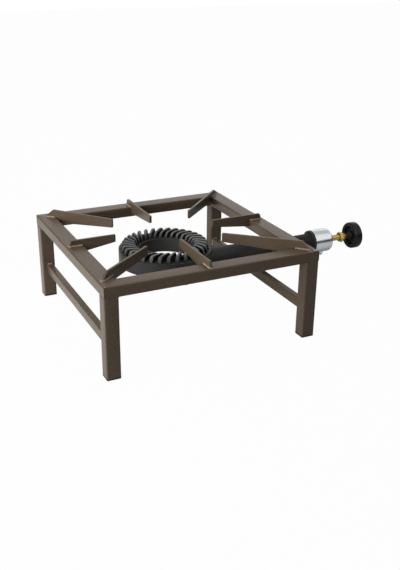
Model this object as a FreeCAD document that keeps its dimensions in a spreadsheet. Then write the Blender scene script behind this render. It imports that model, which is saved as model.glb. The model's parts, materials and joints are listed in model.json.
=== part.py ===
import FreeCAD, Part
import os
import re
import Sketcher

# Outdoor stool burner. Millimetres. X runs to the right along the mixing tube, Y to the rear, Z up.
# The origin is the bottom centre of the whole object. The frame's own centre lies to the left of it,
# because the mixing tube, the valve and the knob stand out to the right.
# Every sub-part is drawn about the frame's centre, the ring's centre or the rim of the bell, and its
# placement moves it from there.

SIZES = [
    # how far every cut runs past the face that it starts from, and how far joined solids overlap
    ("cut_margin", 1),
    ("joint_overlap", 0.5),
    # square top frame of rectangular tube
    ("frame_side", 320),
    ("frame_top", 133),
    ("rail_width", 25),
    ("rail_height", 16),
    ("rail_wall", 1.5),
    ("rail_corner", 2),
    # legs of square tube and their caps
    ("leg_size", 20),
    ("leg_wall", 1.5),
    ("leg_corner", 2),
    ("cap_thickness", 2),
    ("cap_plug_height", 8),
    ("cap_plug_gap", 0.2),
    # stretchers between the legs, left and right
    ("stretcher_width", 10),
    ("stretcher_height", 15),
    ("stretcher_wall", 1.2),
    ("stretcher_corner", 1.5),
    ("stretcher_inset", 7),
    ("stretcher_rise", 39.5),
    # the ring and the side fingers stand about a centre to the left of the frame's
    ("ring_shift", 8),
    # pot fingers of flat bar
    ("finger_thickness", 4),
    ("side_finger_rise", 8.7),
    ("side_finger_setback", 4),
    ("side_finger_bevel", 3.5),
    ("side_finger_hook", 10),
    ("side_tip_height", 11.2),
    ("short_finger_tip", 78),
    ("long_finger_tip", 55),
    ("corner_finger_rise", 12),
    ("front_left_rise", 9.5),
    ("rear_right_rise", 8),
    ("rear_left_setback", 12),
    ("front_left_setback", 5),
    ("front_right_setback", 8),
    ("rear_right_setback", 4),
    ("corner_finger_bevel", 10),
    ("corner_finger_hook", 8.5),
    ("corner_tip_rise", 8.5),
    ("corner_tip_height", 13.5),
    ("rear_left_tip", 66),
    ("front_left_tip", 62),
    ("right_corner_tip", 58),
    # the front left finger is set a little off the diagonal, in degrees
    ("front_left_lean", 5.7),
    ("corner_finger_gap", 0.5),
    # ring casting
    ("ring_radius", 69.5),
    ("hole_radius", 39),
    ("ring_wall", 3.5),
    ("ring_base", 88),
    ("ring_height", 21),
    ("ring_floor", 3),
    ("ledge_width", 2.5),
    ("ledge_drop", 5),
    # crown
    ("crown_gap", 0.3),
    ("band_width", 3),
    ("port_length", 8),
    ("port_width", 2.2),
    ("valley_rise", 4),
    ("shell_thickness", 2.5),
    ("shell_flat", 12),
    ("crest_rise", 10.5),
    ("rib_width", 4.6),
    ("rib_offset", 29),
    ("rib_count", 32),
    # mixing tube, from the ring to the bell
    ("tube_drop", 9),
    ("tube_radius", 17.6),
    ("socket_reach", 4.5),
    ("socket_wall", 3.5),
    ("spigot_length", 10),
    ("spigot_gap", 0.1),
    ("spigot_wall", 2.2),
    ("inlet_setback", 2),
    ("inlet_port_length", 15),
    ("inlet_port_width", 20),
    ("taper_length", 154),
    ("neck_length", 23),
    ("neck_radius", 14.3),
    ("throat_radius", 8.5),
    ("throat_length", 10),
    ("mouth_length", 30),
    ("flare_length", 6.2),
    ("rim_thickness", 3.5),
    ("rim_radius", 18.6),
    ("cage_radius", 17.3),
    ("cage_wall", 3),
    ("cage_length", 28),
    ("cage_end", 5),
    ("window_setback", 1),
    ("window_width", 20),
    ("window_count", 3),
    # air sleeve and its screw
    ("sleeve_start", 0.3),
    ("sleeve_length", 33.2),
    ("sleeve_round", 5),
    ("sleeve_mouth_radius", 10),
    ("sleeve_travel", 7),
    ("slot_gap", 0.6),
    ("sleeve_gap", 0.1),
    ("sleeve_wall", 1.5),
    ("boss_radius", 4.5),
    ("boss_height", 2.3),
    ("screw_place", 20.5),
    ("screw_radius", 2),
    ("screw_gap", 0.05),
    ("screw_tip_gap", 0.35),
    ("screw_head_radius", 3.5),
    ("screw_head_height", 3.2),
    ("screw_head_gap", 0.3),
    ("screw_slot_width", 0.9),
    ("screw_slot_depth", 1.2),
    # valve
    ("nose_radius", 5.9),
    ("nose_gap", 0.1),
    ("nose_reach", 10),
    ("shoulder_radius", 8),
    ("shoulder_thickness", 3),
    ("barrel_radius", 4.8),
    ("barrel_length", 29),
    ("bore_radius", 3.05),
    ("seat_radius", 1.2),
    ("seat_length", 6),
    ("jet_bore_radius", 1.6),
    ("jet_end_gap", 1),
    ("lock_nut_flats", 17),
    ("lock_nut_thickness", 4),
    ("jet_length", 14),
    ("jet_thread_radius", 3),
    ("jet_thread_length", 5),
    ("jet_flats", 10),
    ("jet_flats_length", 4),
    ("jet_nose_radius", 2.2),
    ("jet_hole_radius", 0.6),
    ("jet_hole_length", 2),
    ("jet_cone_length", 1),
    ("jet_thread_gap", 0.05),
    ("inlet_place", 7),
    ("inlet_boss_radius", 6.2),
    ("inlet_boss_reach", 10),
    ("inlet_bore_radius", 2.5),
    ("nipple_plug_radius", 4),
    ("nipple_plug_length", 4.5),
    ("nipple_plug_gap", 0.05),
    ("nipple_end_gap", 0.5),
    ("nipple_flats", 13),
    ("nipple_flats_length", 4),
    ("nipple_thread_radius", 6.58),
    ("nipple_thread_length", 13),
    ("nipple_relief_radius", 5.2),
    ("nipple_relief_length", 6),
    ("nipple_chamfer", 1.2),
    # packing nut, packing, spindle
    ("nut_flats", 15),
    ("nut_overlap", 4.3),
    ("nut_hexagon_length", 5.8),
    ("nut_collar_radius", 5.6),
    ("nut_collar_length", 8.5),
    ("nut_thread_gap", 0.05),
    ("nut_end_gap", 0.3),
    ("nut_chamfer", 0.6),
    ("packing_radius", 4.4),
    ("packing_length", 4),
    ("packing_gap", 0.05),
    ("spindle_radius", 2.5),
    ("spindle_gap", 0.08),
    ("spindle_thread_gap", 0.05),
    ("spindle_thread_length", 8),
    ("spindle_neck_radius", 2),
    ("needle_length", 4),
    ("needle_tip_radius", 0.4),
    ("needle_bite", 1.5),
    ("spindle_end_gap", 0.3),
    ("spindle_stop_gap", 2),
    # knob
    ("knob_radius", 21.8),
    ("knob_thickness", 13),
    ("knob_gap", 6.6),
    ("knob_fit_gap", 0.05),
    ("knob_rim_width", 6.5),
    ("knob_recess", 6),
    ("knob_draft", 1),
    ("knob_round", 3),
    ("knob_hub_radius", 7.5),
    ("knob_socket_depth", 8.3),
    ("knob_screw_head_radius", 3.4),
    ("knob_screw_head_height", 2.6),
    ("knob_screw_radius", 1.5),
    ("knob_screw_gap", 0.05),
    ("knob_screw_length", 9),
    ("knob_screw_end_gap", 1),
    ("knob_sink_depth", 3.6),
    ("knob_sink_gap", 0.5),
    # carriers of the ring and the tube
    ("strap_width", 20),
    ("strap_thickness", 3),
    ("strap_weld_length", 14),
    ("strap_overhang", 2),
    ("strap_flat", 22),
    ("lug_width", 18),
    ("lug_thickness", 4),
    ("lug_reach", 15),
    ("bolt_radius", 3),
    ("bolt_gap", 0.3),
    ("bolt_thread_gap", 0.05),
    ("bolt_flats", 10),
    ("bolt_head_height", 4),
    ("bolt_nut_height", 5),
    ("bolt_end", 2),
    ("hanger_width", 44),
    ("hanger_thickness", 3),
    ("hanger_setback", 12),
    ("hanger_reach", 12),
    ("hanger_drop", 21),
    ("eye_gap", 0.25),
]

# sizes that follow from the ones above
DERIVED = [
    ("frame_half", "frame_side / 2"),
    ("rail_inner", "frame_half - rail_width"),
    ("rail_bottom", "frame_top - rail_height"),
    ("leg_inner", "frame_half - leg_size"),
    ("tube_axis", "ring_base - tube_drop"),
    ("flare_start", "rim_thickness + flare_length"),
    ("neck_start", "flare_start + neck_length"),
    ("rim_place", "ring_radius + socket_reach + taper_length + neck_start - ring_shift"),
    ("window_end", "cage_length - cage_end"),
    ("shoulder_end", "cage_length + shoulder_thickness"),
    ("barrel_end", "shoulder_end + barrel_length"),
    ("nut_start", "barrel_end - nut_overlap"),
    ("nut_hexagon_end", "nut_start + nut_hexagon_length"),
    ("nut_end", "nut_hexagon_end + nut_collar_length"),
    ("knob_start", "nut_end + knob_gap"),
    ("knob_end", "knob_start + knob_thickness"),
    ("origin_shift", "(rim_place + knob_end - frame_half) / 2"),
    ("nose_start", "window_end - nose_reach"),
    ("seat_end", "nose_start + jet_thread_length + jet_end_gap + seat_length"),
    ("inlet_x", "shoulder_end + inlet_place"),
    ("trough_inner", "hole_radius + ring_wall"),
    ("trough_outer", "ring_radius - ring_wall"),
    ("crown_inner", "trough_inner + crown_gap"),
    ("crown_outer", "trough_outer - crown_gap"),
    ("crown_base", "ring_height - ledge_drop"),
    ("crown_middle", "(crown_inner + crown_outer) / 2"),
    ("sleeve_inner", "cage_radius + sleeve_gap"),
    ("sleeve_outer", "sleeve_inner + sleeve_wall"),
    ("sleeve_end", "sleeve_start + sleeve_length"),
    ("slot_start", "inlet_x - nipple_flats / 2 - slot_gap - sleeve_travel"),
    ("screw_seat", "sleeve_outer + boss_height"),
    ("screw_end", "screw_seat + screw_head_gap + screw_head_height"),
    ("jet_start", "nose_start + jet_thread_length - jet_length"),
    ("nipple_thread_start", "inlet_boss_reach + nipple_flats_length + nipple_relief_length"),
    ("nipple_end", "nipple_thread_start + nipple_thread_length"),
    ("needle_start", "seat_end - needle_bite"),
    ("spindle_thread_start", "barrel_end - spindle_stop_gap - spindle_thread_length"),
    ("knob_socket_end", "knob_start + knob_socket_depth"),
    ("knob_sink_floor", "knob_end - knob_sink_depth"),
    ("knob_screw_end", "knob_sink_floor - knob_screw_length - knob_screw_end_gap"),
    ("lug_place", "ring_radius + lug_reach - lug_width / 2"),
    ("strap_bend", "lug_width / 2 - lug_place - strap_flat"),
    ("strap_slope", "(rail_bottom - ring_base) / (strap_bend + rail_inner - strap_overhang)"),
    ("strap_lag", "strap_thickness * (sqrt(1 + strap_slope ^ 2) - 1) / strap_slope"),
    ("hanger_place", "frame_half + hanger_reach - hanger_thickness"),
]

doc = FreeCAD.newDocument("stool_burner")
sheet = doc.addObject("Spreadsheet::Sheet", "sizes")
NAMES = set()


def fill_sheet():
    """Write every size and every size that follows from it into the sheet."""
    row = 1
    for name, value in SIZES:
        sheet.set("A%d" % row, name)
        sheet.set("B%d" % row, str(value))
        sheet.setAlias("B%d" % row, name)
        NAMES.add(name)
        row += 1
    for name, rule in DERIVED:
        sheet.set("A%d" % row, name)
        sheet.set("B%d" % row, "=" + rule)
        sheet.setAlias("B%d" % row, name)
        NAMES.add(name)
        row += 1
    doc.recompute()


def full(rule):
    """Turn bare size names into references to the sheet."""
    def swap(match):
        word = match.group(0)
        return "sizes." + word if word in NAMES else word
    return re.sub(r"[A-Za-z_][A-Za-z_0-9]*", swap, str(rule))


def value(rule):
    return float(sheet.evalExpression(full(rule)))


def bind(thing, prop, rule):
    thing.setExpression(prop, full(rule))


def body(label, x="-origin_shift", y="0", z="0", turn="0", axis=(0, 0, 1)):
    """An empty body whose placement follows the sheet."""
    new = doc.addObject("PartDesign::Body", label)
    new.Label = label
    new.Placement = FreeCAD.Placement(
        FreeCAD.Vector(value(x), value(y), value(z)),
        FreeCAD.Rotation(FreeCAD.Vector(*axis), value(turn)))
    bind(new, "Placement.Rotation.Angle", turn)
    bind(new, "Placement.Base.x", x)
    bind(new, "Placement.Base.y", y)
    bind(new, "Placement.Base.z", z)
    return new


def sketch(owner, name, plane, offset="0"):
    """A sketch on one of the body's own origin planes, shifted along its normal."""
    new = owner.newObject("Sketcher::SketchObject", owner.Label + "_" + name)
    for feature in owner.Origin.OriginFeatures:
        if feature.Role == plane:
            new.AttachmentSupport = [(feature, "")]
    new.MapMode = "FlatFace"
    if offset != "0":
        new.AttachmentOffset.Base.z = value(offset)
        bind(new, "AttachmentOffset.Base.z", offset)
    return new


def pin_point(flat, geometry, point, rules):
    """Fix one sketch point at two size rules measured from the sketch origin."""
    for kind, rule in zip(("DistanceX", "DistanceY"), rules):
        number = flat.addConstraint(Sketcher.Constraint(kind, -1, 1, geometry, point, value(rule)))
        bind(flat, "Constraints[%d]" % number, rule)


def outline(flat, points):
    """A closed outline of straight lines through the given points."""
    spots = [FreeCAD.Vector(value(x), value(y), 0) for x, y in points]
    first = flat.GeometryCount
    count = len(spots)
    for i in range(count):
        flat.addGeometry(Part.LineSegment(spots[i], spots[(i + 1) % count]), False)
    for i in range(count):
        flat.addConstraint(Sketcher.Constraint("Coincident", first + i, 2, first + (i + 1) % count, 1))
    for i in range(count):
        pin_point(flat, first + i, 1, points[i])


def circle(flat, x, y, radius):
    centre = FreeCAD.Vector(value(x), value(y), 0)
    number = flat.addGeometry(Part.Circle(centre, FreeCAD.Vector(0, 0, 1), value(radius)), False)
    pin_point(flat, number, 3, (x, y))
    rule = flat.addConstraint(Sketcher.Constraint("Radius", number, value(radius)))
    bind(flat, "Constraints[%d]" % rule, radius)


def round_rectangle(flat, left, right, low, high, corner):
    """A rectangle with four equal corner arcs."""
    x0, x1, y0, y1, r = value(left), value(right), value(low), value(high), value(corner)
    first = flat.GeometryCount
    corners = [(x1 - r, y0 + r, -90), (x1 - r, y1 - r, 0), (x0 + r, y1 - r, 90), (x0 + r, y0 + r, 180)]
    sides = [((x0 + r, y0), (x1 - r, y0)), ((x1, y0 + r), (x1, y1 - r)),
             ((x1 - r, y1), (x0 + r, y1)), ((x0, y1 - r), (x0, y0 + r))]
    for side, (cx, cy, start) in zip(sides, corners):
        flat.addGeometry(Part.LineSegment(FreeCAD.Vector(*side[0], 0), FreeCAD.Vector(*side[1], 0)), False)
        ring = Part.Circle(FreeCAD.Vector(cx, cy, 0), FreeCAD.Vector(0, 0, 1), r)
        turn = FreeCAD.Units.Quantity("1 deg").getValueAs("rad").Value
        flat.addGeometry(Part.ArcOfCircle(ring, start * turn, (start + 90) * turn), False)
    for i in range(4):
        line, arc = first + 2 * i, first + 2 * i + 1
        following = first + (2 * i + 2) % 8
        flat.addConstraint(Sketcher.Constraint("Tangent", line, 2, arc, 1))
        flat.addConstraint(Sketcher.Constraint("Tangent", arc, 2, following, 1))
        flat.addConstraint(Sketcher.Constraint("Vertical" if i % 2 else "Horizontal", line))
        if i:
            flat.addConstraint(Sketcher.Constraint("Equal", first + 1, arc))
    rules = [("DistanceY", first, low), ("DistanceX", first + 2, right),
             ("DistanceY", first + 4, high), ("DistanceX", first + 6, left)]
    for kind, line, rule in rules:
        number = flat.addConstraint(Sketcher.Constraint(kind, -1, 1, line, 1, value(rule)))
        bind(flat, "Constraints[%d]" % number, rule)
    number = flat.addConstraint(Sketcher.Constraint("Radius", first + 1, r))
    bind(flat, "Constraints[%d]" % number, corner)


def rectangle(flat, left, right, low, high):
    outline(flat, [(left, low), (right, low), (right, high), (left, high)])


def hexagon(flat, x, y, flats, turn=0):
    """A regular hexagon by its width over flats. turn 0 has flats on the left and right."""
    half = "(%s) / 2" % flats
    long = "(%s) / sqrt(3)" % flats
    short = "(%s) / (2 * sqrt(3))" % flats
    spots = [(half, "-" + short), (half, short), ("0", long),
             ("-" + half, short), ("-" + half, "-" + short), ("0", "-" + long)]
    if turn:
        spots = [(b, a) for a, b in reversed(spots)]
    outline(flat, [("(%s) + (%s)" % (x, a), "(%s) + (%s)" % (y, b)) for a, b in spots])


def pad(owner, flat, length, symmetric=False, reverse=False):
    new = owner.newObject("PartDesign::Pad", flat.Name + "_pad")
    new.Profile = flat
    new.Reversed = reverse
    if symmetric:
        new.SideType = "Symmetric"
    bind(new, "Length", length)
    return new


def pocket(owner, flat, length=None, symmetric=False, reverse=False):
    """A cut of the given length, or through everything when no length is given."""
    new = owner.newObject("PartDesign::Pocket", flat.Name + "_cut")
    new.Profile = flat
    new.Reversed = reverse
    if symmetric:
        new.SideType = "Symmetric"
    if length is None:
        new.Type = "ThroughAll"
    else:
        bind(new, "Length", length)
    return new


def turned(owner, flat, axis="H_Axis"):
    new = owner.newObject("PartDesign::Revolution", flat.Name + "_turned")
    new.Profile = flat
    new.ReferenceAxis = (flat, [axis])
    new.Angle = 360
    return new


def grooved(owner, flat, axis="H_Axis"):
    new = owner.newObject("PartDesign::Groove", flat.Name + "_groove")
    new.Profile = flat
    new.ReferenceAxis = (flat, [axis])
    new.Angle = 360
    return new


def around(owner, features, role, count):
    """Repeat features evenly around one of the body's own axes."""
    new = owner.newObject("PartDesign::PolarPattern", features[0].Name + "_around")
    new.Originals = features
    for feature in owner.Origin.OriginFeatures:
        if feature.Role == role:
            new.Axis = (feature, [""])
    new.Angle = 360
    new.Occurrences = int(value(count))
    bind(new, "Occurrences", count)
    owner.Tip = new
    return new


def arc(x, y, radius, start, stop, steps=4):
    """Points on an arc about (x, y), from the start angle to the stop angle in degrees."""
    angles = [start + (stop - start) * i / steps for i in range(steps + 1)]
    return [("%s + (%s) * cos(%s)" % (x, radius, angle), "%s + (%s) * sin(%s)" % (y, radius, angle))
            for angle in angles]


def turned_part(label, x, z, points):
    """A part turned about its own X axis from an outline of (place along the axis, radius)."""
    new = body(label, x=x, z=z)
    flat = sketch(new, "profile", "XZ_Plane")
    outline(flat, points)
    turned(new, flat)
    return new


def rail(label, turn):
    """One side of the top frame: a rectangular tube cut at 45 degrees at both ends."""
    new = body(label, turn=turn)
    flat = sketch(new, "section", "YZ_Plane")
    round_rectangle(flat, "-frame_half", "-rail_inner", "rail_bottom", "frame_top", "rail_corner")
    rectangle(flat, "rail_wall - frame_half", "-rail_inner - rail_wall",
              "rail_bottom + rail_wall", "frame_top - rail_wall")
    pad(new, flat, "frame_side", symmetric=True)
    ends = sketch(new, "mitres", "XY_Plane")
    far = "frame_half + cut_margin"
    near = "rail_inner - cut_margin"
    outline(ends, [(far, "-(%s)" % far), (far, "-(%s)" % near), (near, "-(%s)" % near)])
    outline(ends, [("-(%s)" % far, "-(%s)" % far), ("-(%s)" % near, "-(%s)" % near),
                   ("-(%s)" % far, "-(%s)" % near)])
    pocket(new, ends, symmetric=True)


def leg(label, turn):
    """A square tube from the foot cap up to the rails."""
    new = body(label, turn=turn)
    flat = sketch(new, "section", "XY_Plane", "cap_thickness")
    round_rectangle(flat, "-frame_half", "-leg_inner", "-frame_half", "-leg_inner", "leg_corner")
    rectangle(flat, "leg_wall - frame_half", "-leg_inner - leg_wall",
              "leg_wall - frame_half", "-leg_inner - leg_wall")
    pad(new, flat, "rail_bottom - cap_thickness")


def foot_cap(label, turn):
    """A flat foot plate with a square plug that fills the end of the leg."""
    new = body(label, turn=turn)
    foot = sketch(new, "foot", "XY_Plane")
    round_rectangle(foot, "-frame_half", "-leg_inner", "-frame_half", "-leg_inner", "leg_corner")
    pad(new, foot, "cap_thickness")
    plug = sketch(new, "plug", "XY_Plane")
    near = "leg_wall + cap_plug_gap - frame_half"
    far = "-leg_inner - leg_wall - cap_plug_gap"
    rectangle(plug, near, far, near, far)
    pad(new, plug, "cap_thickness + cap_plug_height")


def stretcher(label, turn):
    """A small rectangular tube between the front leg and the rear leg of one side."""
    new = body(label, turn=turn)
    flat = sketch(new, "section", "XZ_Plane")
    outer = "stretcher_inset - frame_half"
    inner = "stretcher_inset + stretcher_width - frame_half"
    low = "stretcher_rise"
    high = "stretcher_rise + stretcher_height"
    round_rectangle(flat, outer, inner, low, high, "stretcher_corner")
    rectangle(flat, outer + " + stretcher_wall", inner + " - stretcher_wall",
              low + " + stretcher_wall", high + " - stretcher_wall")
    pad(new, flat, "2 * leg_inner", symmetric=True)


def side_finger(label, turn, tip, x="-origin_shift"):
    """Flat bar standing on a rail in line with the ring's centre and hooked down inside the rail."""
    new = body(label, x=x, turn=turn)
    flat = sketch(new, "shape", "XZ_Plane")
    outline(flat, [
        ("frame_half - side_finger_setback", "frame_top"),
        ("frame_half - side_finger_setback - side_finger_bevel", "frame_top + side_finger_rise"),
        (tip, "frame_top + side_finger_rise"),
        (tip, "frame_top + side_finger_rise - side_tip_height"),
        ("rail_inner", "frame_top - side_finger_hook"),
        ("rail_inner", "frame_top")])
    pad(new, flat, "finger_thickness", symmetric=True)


def corner_finger(label, turn, setback, tip, rise="corner_finger_rise", lean="0"):
    """Longer flat bar standing on a corner of the frame. It points at the frame's centre, or is turned
    away from the diagonal by a lean about its tip."""
    angle = "(45 - %s)" % lean
    reach = "%s * sqrt(2)" % tip
    new = body(label, x="%s * cos(%s) - %s - origin_shift" % (reach, angle, tip),
               y="%s * sin(%s) - %s" % (reach, angle, tip), turn="%s - %s" % (turn, lean))
    flat = sketch(new, "shape", "XZ_Plane")

    def beyond(edge):
        return "%s + (%s - %s) / cos(%s)" % (reach, edge, tip, angle)

    notch = beyond("rail_inner") + " - finger_thickness / 2 * tan(%s) - corner_finger_gap" % angle
    outline(flat, [
        (beyond("frame_half - " + setback), "frame_top"),
        (beyond("frame_half - %s - corner_finger_bevel" % setback), "frame_top + " + rise),
        (reach, "frame_top + corner_tip_rise"),
        (reach, "frame_top + corner_tip_rise - corner_tip_height"),
        (notch, "frame_top - corner_finger_hook"),
        (notch, "frame_top")])
    pad(new, flat, "finger_thickness", symmetric=True)


def burner_ring():
    """Ring trough with an inlet chamber and tube socket below its right side and a lug in front."""
    new = body("burner_ring", x="-ring_shift - origin_shift", z="ring_base")
    block = sketch(new, "block", "XZ_Plane")
    rectangle(block, "hole_radius", "ring_radius", "0", "ring_height")
    turned(new, block, "V_Axis")
    socket = sketch(new, "socket", "YZ_Plane", "hole_radius + inlet_setback")
    circle(socket, "0", "-tube_drop", "tube_radius")
    pad(new, socket, "ring_radius + socket_reach - hole_radius - inlet_setback")
    lug = sketch(new, "lug", "XY_Plane")
    rectangle(lug, "-lug_width / 2", "lug_width / 2", "-lug_place", "ring_wall / 2 - ring_radius")
    pad(new, lug, "lug_thickness")
    lug_end = sketch(new, "lug_end", "XY_Plane")
    circle(lug_end, "0", "-lug_place", "lug_width / 2")
    pad(new, lug_end, "lug_thickness")
    trough = sketch(new, "trough", "XZ_Plane")
    outline(trough, [
        ("trough_inner + ledge_width", "ring_floor"),
        ("trough_outer - ledge_width", "ring_floor"),
        ("trough_outer - ledge_width", "crown_base"),
        ("trough_outer", "crown_base"),
        ("trough_outer", "ring_height + cut_margin"),
        ("trough_inner", "ring_height + cut_margin"),
        ("trough_inner", "crown_base"),
        ("trough_inner + ledge_width", "crown_base")])
    grooved(new, trough, "V_Axis")
    bore = sketch(new, "bore", "YZ_Plane", "ring_radius + socket_reach")
    circle(bore, "0", "-tube_drop", "tube_radius - socket_wall")
    pocket(new, bore, "ring_radius + socket_reach - hole_radius - inlet_setback - socket_wall")
    port = sketch(new, "port", "XY_Plane", "ring_floor + cut_margin")
    rectangle(port, "crown_middle - inlet_port_length / 2", "crown_middle + inlet_port_length / 2",
              "-inlet_port_width / 2", "inlet_port_width / 2")
    pocket(new, port, "ring_floor + cut_margin + tube_drop")
    hole = sketch(new, "hole", "XY_Plane")
    circle(hole, "0", "-lug_place", "bolt_radius + bolt_gap")
    pocket(new, hole, symmetric=True)


# Shape of the crown over its width: (part of the width from the inner edge, part of the crest height).
CREST = [(0, 0.14), (0.12, 0.55), (0.33, 0.9), (0.55, 1), (0.76, 0.94), (0.92, 0.62), (1, 0.2)]


def burner_crown():
    """Domed lid of the trough with slanting ribs and a flame port in every valley between them."""
    new = body("burner_crown", x="-ring_shift - origin_shift", z="ring_base")
    shell = sketch(new, "shell", "XZ_Plane")
    top = "ring_height + valley_rise"
    outline(shell, [
        ("crown_inner", "crown_base"),
        ("crown_inner + band_width", "crown_base"),
        ("crown_inner + band_width", "ring_height - shell_thickness"),
        ("crown_middle - shell_flat / 2", top + " - shell_thickness"),
        ("crown_middle + shell_flat / 2", top + " - shell_thickness"),
        ("crown_outer - band_width", "ring_height - shell_thickness"),
        ("crown_outer - band_width", "crown_base"),
        ("crown_outer", "crown_base"),
        ("crown_outer", "ring_height"),
        ("crown_middle + shell_flat / 2", top),
        ("crown_middle - shell_flat / 2", top),
        ("crown_inner", "ring_height")])
    turned(new, shell, "V_Axis")
    rib = sketch(new, "rib", "XY_Plane", "ring_height - shell_thickness / 2")
    rectangle(rib, "sqrt(crown_inner ^ 2 - (rib_offset + rib_width / 2) ^ 2) - cut_margin",
              "sqrt(crown_outer ^ 2 - (rib_offset - rib_width / 2) ^ 2) + cut_margin",
              "rib_offset - rib_width / 2", "rib_offset + rib_width / 2")
    bar = pad(new, rib, "crest_rise + shell_thickness")
    around(new, [bar], "Z_Axis", "rib_count")
    trim = sketch(new, "trim", "XZ_Plane")
    crest = [("crown_inner + %s * (crown_outer - crown_inner)" % across,
              "ring_height + %s * crest_rise" % up) for across, up in CREST]
    low = "crown_base - cut_margin"
    high = "ring_height + 2 * crest_rise"
    outline(trim, [("crown_inner", low)] + crest + [
        ("crown_outer", low), ("crown_outer + rib_width", low), ("crown_outer + rib_width", high),
        ("crown_inner - rib_width", high), ("crown_inner - rib_width", low)])
    grooved(new, trim, "V_Axis")
    port = sketch(new, "port", "XY_Plane", "ring_height + crest_rise")
    outer = "sqrt((crown_outer - band_width) ^ 2 - rib_offset ^ 2)"
    corners = [(outer + " - port_length", "rib_offset - port_width / 2"),
               (outer, "rib_offset - port_width / 2"),
               (outer, "rib_offset + port_width / 2"),
               (outer + " - port_length", "rib_offset + port_width / 2")]
    step = "180 / rib_count"
    outline(port, [
        ("(%s) * cos(%s) - (%s) * sin(%s)" % (x, step, y, step),
         "(%s) * sin(%s) + (%s) * cos(%s)" % (x, step, y, step)) for x, y in corners])
    slot = pocket(new, port, "2 * ring_height")
    around(new, [slot], "Z_Axis", "rib_count")


# Outside of the flare in front of the rim: (part of the flare's length, part of the rise to the rim).
FLARE = [(1, 0), (0.55, 0.1), (0.2, 0.42), (0, 0.8)]
# Inside of the mouth behind the rim: (part of the mouth's length, part of the rise to the cage).
MOUTH = [(0.2, 0.68), (0.5, 0.28), (1, 0)]


def mixing_tube():
    """Cast tube: spigot, taper, neck, flared rim and a three-legged cage that carries the valve."""
    new = body("mixing_tube", x="rim_place - origin_shift", z="tube_axis")
    flat = sketch(new, "profile", "XZ_Plane")
    seat = "-neck_start - taper_length"
    spigot = "tube_radius - socket_wall - spigot_gap"
    flare = [("-rim_thickness - %s * flare_length" % part,
              "neck_radius + %s * (rim_radius - neck_radius)" % rise) for part, rise in FLARE]
    mouth = [("-%s * mouth_length" % part,
              "throat_radius + %s * (cage_radius - cage_wall - throat_radius)" % rise)
             for part, rise in MOUTH]
    outline(flat, [
        (seat + " - spigot_length", spigot + " - spigot_wall"),
        (seat + " - spigot_length", spigot),
        (seat, spigot),
        (seat, "tube_radius"),
        ("-neck_start", "neck_radius")] + flare + [
        ("-rim_thickness", "rim_radius"),
        ("0", "rim_radius"),
        ("0", "cage_radius"),
        ("cage_length", "cage_radius"),
        ("cage_length", "nose_radius + nose_gap"),
        ("window_end", "nose_radius + nose_gap"),
        ("window_end", "cage_radius - cage_wall"),
        ("0", "cage_radius - cage_wall")] + mouth + [
        ("-mouth_length - throat_length", "throat_radius")])
    turned(new, flat)
    window = sketch(new, "window", "XY_Plane")
    rectangle(window, "window_setback", "window_end", "-window_width / 2", "window_width / 2")
    gap = pocket(new, window, "2 * cage_radius", reverse=True)
    around(new, [gap], "X_Axis", "window_count")


def strap():
    """Bent flat bar from the underside of the front rail down to the lug of the ring."""
    new = body("front_strap", x="-ring_shift - origin_shift")
    flat = sketch(new, "shape", "YZ_Plane")
    outline(flat, [
        ("-rail_inner - strap_weld_length", "rail_bottom"),
        ("strap_overhang - rail_inner", "rail_bottom"),
        ("strap_bend", "ring_base"),
        ("strap_bend + strap_flat", "ring_base"),
        ("strap_bend + strap_flat", "ring_base - strap_thickness"),
        ("strap_bend - strap_lag", "ring_base - strap_thickness"),
        ("strap_overhang - rail_inner - strap_lag", "rail_bottom - strap_thickness"),
        ("-rail_inner - strap_weld_length", "rail_bottom - strap_thickness")])
    pad(new, flat, "strap_width", symmetric=True)
    hole = sketch(new, "hole", "XY_Plane", "ring_base + cut_margin")
    circle(hole, "0", "-lug_place", "bolt_radius + bolt_gap")
    pocket(new, hole, "strap_thickness + 2 * cut_margin")


def strap_bolt():
    """Hexagon bolt through the lug and the strap."""
    new = body("strap_bolt", x="-ring_shift - origin_shift", y="-lug_place")
    head = sketch(new, "head", "XY_Plane", "ring_base + lug_thickness")
    hexagon(head, "0", "0", "bolt_flats")
    pad(new, head, "bolt_head_height")
    shank = sketch(new, "shank", "XY_Plane", "ring_base - strap_thickness - bolt_nut_height - bolt_end")
    circle(shank, "0", "0", "bolt_radius")
    pad(new, shank, "bolt_end + bolt_nut_height + strap_thickness + lug_thickness + bolt_head_height / 2")


def strap_nut():
    new = body("strap_nut", x="-ring_shift - origin_shift", y="-lug_place")
    flat = sketch(new, "shape", "XY_Plane", "ring_base - strap_thickness - bolt_nut_height")
    hexagon(flat, "0", "0", "bolt_flats")
    circle(flat, "0", "0", "bolt_radius + bolt_thread_gap")
    pad(new, flat, "bolt_nut_height")


def hanger():
    """Angle under the right rail with an eye round the mixing tube."""
    new = body("right_hanger")
    flat = sketch(new, "shape", "XZ_Plane")
    outer = "frame_half + hanger_reach"
    outline(flat, [
        ("frame_half - hanger_setback", "rail_bottom"),
        (outer, "rail_bottom"),
        (outer, "tube_axis - hanger_drop"),
        (outer + " - hanger_thickness", "tube_axis - hanger_drop"),
        (outer + " - hanger_thickness", "rail_bottom - hanger_thickness"),
        ("frame_half - hanger_setback", "rail_bottom - hanger_thickness")])
    pad(new, flat, "hanger_width", symmetric=True)
    eye = sketch(new, "eye", "YZ_Plane", outer + " + cut_margin")
    wide = "(tube_radius - neck_radius) * (rim_place - neck_start - hanger_place)"
    circle(eye, "0", "tube_axis", "neck_radius + %s / taper_length + eye_gap" % wide)
    pocket(new, eye, "hanger_thickness + 2 * cut_margin")


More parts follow.
